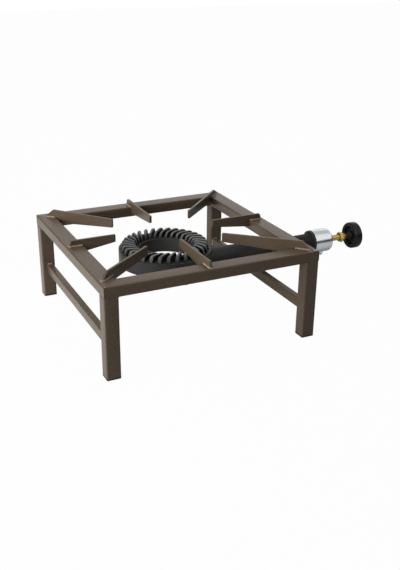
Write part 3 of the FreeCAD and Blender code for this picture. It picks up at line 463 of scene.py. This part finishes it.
def packing_nut_piece():
    """Hexagon with chamfered corners, then the round collar with a groove behind the hexagon."""
    low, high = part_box("packing_nut")
    end = (high.x - low.x) / MM
    flats, hexagon, collar, groove = 15.0, 5.8, 5.6, 4.9
    stem, chamber, bottom = 2.6, 4.4, end - 5.9
    thread, thread_end = 4.85, 4.6
    corner, round_end = flats / math.sqrt(3) + 0.1, flats / 2 - 0.1
    rows = [(0, thread), (0, round_end), (0.7, corner, flats), (hexagon - 0.7, corner, flats),
            (hexagon, round_end), (hexagon, groove), (hexagon + 0.9, groove),
            (hexagon + 1.3, collar), (end - 0.9, collar), (end - 0.3, collar - 0.25), (end, collar - 0.8),
            (end, stem), (bottom, stem), (bottom, chamber), (thread_end, chamber), (thread_end, thread)]
    turned("packing_nut_turned", "packing_nut", "x", rows, "brass", "frame")


def nipple_piece():
    """Gas connection: plug, chamfered hexagon, relief and a thread that fades out at both ends."""
    low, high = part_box("inlet_nipple")
    end = (high.y - low.y) / MM
    flats, thread, start, depth, bore = 13.0, 6.58, 14.5, 0.75, 2.5
    row_step, fade_length = 0.14, 1.5
    plug, plug_end, relief, hexagon_end = 4, 4.5, 5.2, 8.5
    corner, round_end = flats / math.sqrt(3) + 0.1, flats / 2 - 0.1
    rows = [(0, bore), (0, plug), (plug_end, plug), (plug_end, round_end), (plug_end + 0.7, corner, flats),
            (hexagon_end - 0.6, corner, flats), (hexagon_end, round_end), (hexagon_end, relief),
            (start, relief), (start, thread - 0.9)]
    for place in np.arange(start + 0.3, end - 1.0, row_step):
        fade = min(1.0, (place - start) / fade_length, (end - 0.5 - place) / fade_length)
        rows.append((place, thread, ROUND, depth * fade))
    rows += [(end - 0.9, thread - 0.2), (end, thread - 1.2), (end, bore + 0.6), (end - 0.6, bore)]
    turned("nipple_threaded", "inlet_nipple", "y", rows, "brass", "frame", pitch=1.34, around=96)


def strap_bolt_pieces():
    """Bolt with a chamfered head and a threaded end, and its nut."""
    low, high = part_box("strap_bolt")
    end = (high.z - low.z) / MM
    head = end - 4
    flats, nut, shank, depth, axis = 10.0, 5.0, 3, 0.5, 0.01
    thread_end, row_step = 9.0, 0.12
    corner, round_end = flats / math.sqrt(3) + 0.1, flats / 2 - 0.1
    rows = [(0, axis), (0, shank - 0.7), (0.6, shank - 0.05)]
    rows += [(place, shank, ROUND, depth) for place in np.arange(0.8, thread_end, row_step)]
    rows += [(thread_end + 0.4, shank), (head, shank), (head, corner, flats), (end - 0.8, corner, flats),
             (end, round_end), (end, axis)]
    turned("strap_bolt_forged", "strap_bolt", "z", rows, "zinc_steel", "frame",
           flat_angle=0, around=96, closed=False)
    hole, mouth = shank + 0.05, shank + 0.4
    rows = [(0, mouth), (0, round_end), (0.6, corner, flats), (nut - 0.6, corner, flats),
            (nut, round_end), (nut, mouth), (nut - 0.5, hole), (0.5, hole)]
    turned("strap_nut_forged", "strap_nut", "z", rows, "zinc_steel", "frame", flat_angle=0, around=96)


# Weld beads.

FOOT_BEAD = 1.6 * MM
END_BEAD = 1.2 * MM
MITRE_BEAD = 1.5 * MM
TUBE_BEAD = 1.8 * MM
CARRIER_BEAD = 2.2 * MM
TUBE_CORNER = 1.6 * MM
SUNK = -0.2


def corner_section():
    """Quarter of a circle, drawn in a little, that closes behind the corner it lies in. Like the other
    section it is given in bead widths, and its hidden points are sunk in the steel."""
    drawn_in = 0.16
    turn = np.linspace(0, np.pi / 2, 9)
    pull = 1 - drawn_in * np.sin(2 * turn)
    a = np.concatenate([np.cos(turn) * pull, [SUNK, SUNK, 1.0]])
    b = np.concatenate([np.sin(turn) * pull, [1.0, SUNK, SUNK]])
    return a, b


def flat_section():
    """Low half ellipse that closes below the face it lies on."""
    height = 0.32
    turn = np.linspace(0, np.pi, 11)
    a = np.concatenate([np.cos(turn), [-1.0, 1.0]])
    b = np.concatenate([height * np.sin(turn), [SUNK, SUNK]])
    return a, b


def bead(name, start, end, side, up, width, section):
    """Weld bead along a line, its section drawn in the plane of side and up. Along the line its size is
    width times (0.86 + 0.2 * sin(pi * part(distance / wave)) + a slow ripple), like overlapping
    scales, and over the taper at each end it falls to a fifth, as the root of the distance."""
    step, wave, taper = 0.3 * MM, 2 * MM, 1.6 * MM
    start, end, side, up = (np.asarray(v, float) for v in (start, end, side, up))
    line = end - start
    length = np.linalg.norm(line)
    t = np.linspace(0, 1, max(12, int(length / step)))
    scale = np.sin(np.pi * ((t * length / wave) % 1.0))
    size = width * (0.86 + 0.2 * scale + 0.05 * np.sin(37 * t))
    size *= np.clip(np.minimum(t, 1 - t) * length / taper, 0.04, 1) ** 0.5
    a, b = section
    centre = start[None, :] + t[:, None] * line[None, :]
    rings = centre[:, None, :] + size[:, None, None] * (a[None, :, None] * side + b[None, :, None] * up)
    # every bead takes the lighter enamel: painted highlight along the weld
    dress(tube(name, rings), "frame_paint", "frame", 60, WELD_PAINT_WITH_PAINTED_HIGHLIGHT)


SIDES = {"right": (1, 0), "rear": (0, 1), "left": (-1, 0), "front": (0, -1)}
CORNERS = {"rear_right": (1, 1), "rear_left": (-1, 1), "front_left": (-1, -1), "front_right": (1, -1)}
UP = np.array([0, 0, 1.0])


def finger_foot(name, way, half, top):
    """The line of a finger's foot on the rails, from the rails' inner face to its outer end: the bar's box
    gives its direction and its two ends, and the foot starts where the line leaves the last rail."""
    low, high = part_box("finger_" + name)
    middle = (low + high) / 2
    slack = half / math.sqrt(2) if all(way) else 0
    reach = np.array([way[0] * ((high.x - low.x) / 2 - slack), way[1] * ((high.y - low.y) / 2 - slack), 0])
    out = reach / np.linalg.norm(reach)
    far = np.array([middle.x, middle.y, top]) + reach
    edges = {(0, 1): "right_rail", (0, -1): "left_rail", (1, 1): "rear_rail", (1, -1): "front_rail"}
    back = []
    for axis in (0, 1):
        if way[axis]:
            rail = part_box(edges[axis, way[axis]])[0 if way[axis] > 0 else 1][axis]
            back.append((far[axis] - rail) / out[axis])
    return far - out * max(back), far, out


def finger_welds():
    """Two beads along the foot of every pot finger and one across its outer end."""
    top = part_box("front_rail")[1].z
    low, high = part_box("finger_right")
    half = (high.y - low.y) / 2
    inset, beyond = 0.3 * MM, 0.6 * MM
    for name, way in {**SIDES, **CORNERS}.items():
        near, far, out = finger_foot(name, way, half, top)
        across = np.array([-out[1], out[0], 0])
        for label, sign in (("a", 1), ("b", -1)):
            foot = across * sign * half
            bead("weld_%s_%s" % (name, label), near + foot + out * inset, far + foot - out * inset,
                 across * sign, UP, FOOT_BEAD, corner_section())
        bead("weld_%s_end" % name, far - across * (half + beyond), far + across * (half + beyond),
             out, UP, END_BEAD, corner_section())


def mitre_welds():
    """A low ground bead along every mitre, on top from the finger's foot to the outer corner."""
    low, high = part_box("front_rail")
    middle = (low.x + high.x) / 2
    corner = (high.x - low.x) / 2 - TUBE_CORNER
    for name, way in CORNERS.items():
        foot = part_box("finger_" + name)[0 if way[0] < 0 else 1].x
        reach = abs(foot - middle)
        start = np.array([middle + way[0] * reach, way[1] * reach, high.z])
        end = np.array([middle + way[0] * corner, way[1] * corner, high.z])
        across = np.array([-way[1], way[0], 0]) / math.sqrt(2)
        bead("mitre_" + name, start, end, across, UP, MITRE_BEAD, flat_section())


def seam_fill(name, start, end, out):
    """Ground weld that fills the groove between a leg and the rounded lower edge of its rail: a section
    of the groove's shape, whose four outer points are set back from the face and follow a slow ripple."""
    start, end, out = (np.asarray(v, float) for v in (start, end, out))
    back = np.array([0.45, 0.45, 0.55, 0.45, 1.3, 1.9, 2.0]) * MM
    high = np.array([-0.4, 0.6, 1.3, 2.2, 1.9, 1.0, -0.4]) * MM
    outer, wobble = 4, 0.05 * MM
    t = np.linspace(0, 1, 40)[:, None, None]
    ripple = wobble * np.sin(t * 23) * (np.arange(len(back)) < outer)[None, :, None]
    rings = start + t * (end - start) - (back[None, :, None] + ripple) * out + high[None, :, None] * UP
    dress(tube(name, rings), "frame_paint", "frame", 50)


def leg_welds():
    """Filled seams on the two outer faces of every leg and beads on its two inner faces."""
    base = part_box("front_rail")[0].z
    for name, way in CORNERS.items():
        low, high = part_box("leg_" + name)
        centre = (low + high) / 2
        middle = np.array([centre.x, centre.y, base])
        half = (high.x - low.x) / 2
        for label, out in (("x", np.array([way[0], 0, 0.0])), ("y", np.array([0, way[1], 0.0]))):
            along = np.array([abs(out[1]), abs(out[0]), 0.0])
            face, inside = middle + out * half, middle - out * half
            reach = along * (half - TUBE_CORNER)
            seam_fill("seam_%s_%s" % (name, label), face - reach, face + reach, out)
            reach = along * (half - MM)
            bead("leg_weld_%s_%s" % (name, label), inside - reach, inside + reach,
                 -out, -UP, TUBE_BEAD, corner_section())


def stretcher_welds():
    """Beads at both ends of the two stretchers, over and under the tube and on its inner face."""
    for side, inward in (("left", 1), ("right", -1)):
        low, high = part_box("stretcher_" + side)
        inner = high.x if inward > 0 else low.x
        for end, y, way in (("front", low.y, 1), ("rear", high.y, -1)):
            face = np.array([0, way, 0])
            for label, z, out in (("top", high.z, UP), ("low", low.z, -UP)):
                bead("stretcher_%s_%s_%s" % (side, end, label), (low.x + MM, y, z), (high.x - MM, y, z),
                     out, face, TUBE_BEAD, corner_section())
            bead("stretcher_%s_%s_side" % (side, end), (inner, y, low.z + MM), (inner, y, high.z - MM),
                 (inward, 0, 0), face, TUBE_BEAD, corner_section())


def carrier_welds():
    """Beads that hold the strap under the front rail and the hanger under the right rail."""
    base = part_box("front_rail")[0].z
    inset, on_rail, short = 0.5 * MM, 13 * MM, 2.5 * MM
    low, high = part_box("front_strap")
    for label, x, way in (("left", low.x, -1), ("right", high.x, 1)):
        bead("strap_weld_" + label, (x, low.y + inset, base), (x, low.y + on_rail, base),
             (way, 0, 0), -UP, CARRIER_BEAD, corner_section())
    low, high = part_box("right_hanger")
    rail_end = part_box("right_rail")[1].x - short
    for label, y, way in (("front", low.y, -1), ("rear", high.y, 1)):
        bead("hanger_weld_" + label, (low.x + inset, y, base), (rail_end, y, base),
             (0, way, 0), -UP, CARRIER_BEAD, corner_section())


# CAD nodes shown as they are.

EDGE_WIDTHS = {"finger": 1.1, "front_strap": 0.6, "right_hanger": 0.6, "foot_cap": 0.5, "leg": 0.3,
               "rail": 0.3, "stretcher": 0.3, "burner_ring": 0.6, "mixing_tube": 0.7}
OTHER_EDGES = 0.2
SAME_POINT = 0.000001
SMOOTH_ANGLE, BEVEL_ANGLE = math.radians(30), math.radians(40)


def joined_edges():
    """Geometry nodes that join the faces of a CAD node at their shared edges and shade it smooth up to
    the smooth angle, so that a bevel can follow."""
    group = bpy.data.node_groups.new("joined edges", "GeometryNodeTree")
    group.interface.new_socket("Geometry", in_out="INPUT", socket_type="NodeSocketGeometry")
    group.interface.new_socket("Geometry", in_out="OUTPUT", socket_type="NodeSocketGeometry")
    start = group.nodes.new("NodeGroupInput")
    merge = group.nodes.new("GeometryNodeMergeByDistance")
    merge.inputs["Distance"].default_value = SAME_POINT
    clear = group.nodes.new("GeometryNodeRemoveAttribute")
    clear.inputs["Name"].default_value = "custom_normal"
    faces = group.nodes.new("GeometryNodeSetShadeSmooth")
    edges = group.nodes.new("GeometryNodeSetShadeSmooth")
    edges.domain = "EDGE"
    edges.inputs["Shade Smooth"].default_value = False
    angle = group.nodes.new("GeometryNodeInputMeshEdgeAngle")
    wide = group.nodes.new("FunctionNodeCompare")
    wide.inputs["B"].default_value = SMOOTH_ANGLE
    end = group.nodes.new("NodeGroupOutput")
    group.links.new(angle.outputs["Unsigned Angle"], wide.inputs["A"])
    group.links.new(wide.outputs[0], edges.inputs["Selection"])
    chain = [start, merge, clear, faces, edges, end]
    for before, after in zip(chain, chain[1:]):
        group.links.new(before.outputs[0], after.inputs[0])
    return group


def dress_nodes():
    """Material, joined edges and a small edge rounding on every CAD node that still shows."""
    slots = {part["node"]: part["material_slot"] for part in frame["record"]["subparts"]}
    group = joined_edges()
    for name, node in nodes.items():
        if node.hide_render:
            continue
        node.data.materials.clear()
        node.data.materials.append(MATERIALS[slots[name]])
        node.modifiers.new("joined", "NODES").node_group = group
        width = next((w for word, w in EDGE_WIDTHS.items() if word in name), OTHER_EDGES)
        bevel = node.modifiers.new("edges", "BEVEL")
        bevel.width = width * MM
        bevel.segments = 3
        bevel.limit_method = "ANGLE"
        bevel.angle_limit = BEVEL_ANGLE
        bevel.harden_normals = True


crown()
knob_piece()
packing_nut_piece()
nipple_piece()
strap_bolt_pieces()
finger_welds()
mitre_welds()
leg_welds()
stretcher_welds()
carrier_welds()
dress_nodes()


# Floor, light and camera.

def floor():
    """Large flat pale floor. The camera sees it nearly white, with a trace of the object's shadow. Near
    the object, surfaces mirror it white to the left and light grey in front."""
    size, deep = 6.0, 0.02
    seen_white, left_white, front_white = 0.98, 0.95, 0.42
    square = np.array([[-size, -size, 0], [size, -size, 0], [size, size, 0], [-size, size, 0]])
    piece = tube("floor", np.stack([square - (0, 0, deep), square]))
    p = Paint("floor")
    colour = p.mix(p.noise(6, 2), rgb(0.36, 0.36, 0.36), rgb(0.40, 0.40, 0.40))
    shader = p.node("ShaderNodeBsdfPrincipled", inputs={"Base Color": colour, "Roughness": 0.7})
    glow = p.node("ShaderNodeEmission", inputs={"Color": rgb(1, 1, 1), "Strength": 1.0})
    seen, mirrored = p.rays()
    near = 1 - (p.x * p.x + p.y * p.y).rises(0.15, 0.9)
    left, front = (p.y * 0.5 - p.x).rises(0.0, 0.3), (p.y * -1).rises(-0.05, 0.1)
    white = near * (left * left_white + (1 - left) * front * front_white)
    share = seen * seen_white + mirrored * white
    both = p.node("ShaderNodeMixShader", inputs={0: share, 1: shader.outputs[0], 2: glow.outputs[0]})
    p.node("ShaderNodeOutputMaterial", inputs={"Surface": both.outputs[0]})
    piece.data.materials.append(p.material)


def world():
    """White for the camera. For light and reflections, a room that is bright behind, to the left and
    above, and dark in front and to the right near the horizon. Its ceiling is greyer towards the rear,
    and a dark screen stands at the rear left. It is mirrored in full and lights with a part of that."""
    ceiling_grey, room_light = 0.42, 0.22
    made = bpy.data.worlds.new("studio")
    bpy.context.scene.world = made
    room = Tree(made)
    _, x, y, z = room.coordinates("Generated")
    behind, left, above = y.rises(-0.05, 0.45), (x * -1).rises(0.25, 0.8), z.rises(0.12, 0.4)
    ceiling = z.rises(0.4, 0.65) * y.rises(-0.35, 0.15)
    screen = y.rises(0.5, 0.7) * (x * -1).rises(-0.2, 0.1) * z.rises(-0.05, 0.1)
    dark = (1 - behind) * (1 - left) * (1 - above) + ceiling * ceiling_grey + screen
    colour = room.mix(dark.clamp(), rgb(1.05, 1.05, 1.05), rgb(0.05, 0.05, 0.055))
    seen, mirrored = room.rays()
    white = room.node("ShaderNodeBackground", inputs={"Color": rgb(1, 1, 1), "Strength": 1.0})
    mirror = room.node("ShaderNodeBackground", inputs={"Color": colour, "Strength": 1.0})
    studio = room.node("ShaderNodeBackground", inputs={"Color": colour, "Strength": room_light})
    lit = room.node("ShaderNodeMixShader", inputs={0: mirrored, 1: studio.outputs[0], 2: mirror.outputs[0]})
    mix = room.node("ShaderNodeMixShader", inputs={0: seen, 1: lit.outputs[0], 2: white.outputs[0]})
    room.node("ShaderNodeOutputWorld", inputs={"Surface": mix.outputs[0]})


def light(name, place, aim, size, power, mirrored):
    """Flat lamp of a width and height in metres, turned to shine at a point. It is either mirrored by
    the surfaces or only lights them."""
    data = bpy.data.lights.new(name, "AREA")
    data.shape = "RECTANGLE"
    data.size, data.size_y = size
    data.energy = power
    made = bpy.data.objects.new(name, data)
    bpy.context.scene.collection.objects.link(made)
    made.location = place
    made.rotation_euler = (Vector(aim) - Vector(place)).to_track_quat("-Z", "Y").to_euler()
    made.visible_glossy = mirrored


def camera():
    """Camera fitted to the frame's edges in the photo: its angles in radians, its place in metres from
    the middle of the frame on the floor, and its focal length and picture width in pixels."""
    azimuth, elevation, roll = -0.4524, 0.4068, 0.0108
    frame_centre = (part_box("front_rail")[0].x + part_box("front_rail")[1].x) / 2
    aside, ahead, high = 0.4450, 1.0208, 0.5263
    focal, width = 788.9, 400.0
    place = Vector((frame_centre - aside, -ahead, high))
    look = Vector((-math.sin(azimuth) * math.cos(elevation), math.cos(azimuth) * math.cos(elevation),
                   -math.sin(elevation)))
    right = Vector((math.cos(azimuth), math.sin(azimuth), 0))
    up = right.cross(look)
    side = math.cos(roll) * right + math.sin(roll) * up
    top = -math.sin(roll) * right + math.cos(roll) * up
    data = bpy.data.cameras.new("camera")
    data.sensor_fit = "HORIZONTAL"
    data.sensor_width = 36.0
    data.lens = focal * data.sensor_width / width
    data.clip_start, data.clip_end = 0.02, 60
    made = bpy.data.objects.new("camera", data)
    bpy.context.scene.collection.objects.link(made)
    turn = Matrix((side, top, -look)).transposed().to_4x4()
    made.matrix_world = Matrix.Translation(place) @ turn
    bpy.context.scene.camera = made


floor()
world()
light("left", place=(-1.45, -0.3, 0.5), aim=(-0.1, 0, 0.08), size=(1.1, 0.8), power=23, mirrored=True)
light("top", place=(-0.1, 0.65, 1.6), aim=(-0.05, 0, 0.08), size=(3.4, 2.8), power=28, mirrored=False)
camera()
bpy.context.scene.view_settings.view_transform = "Standard"
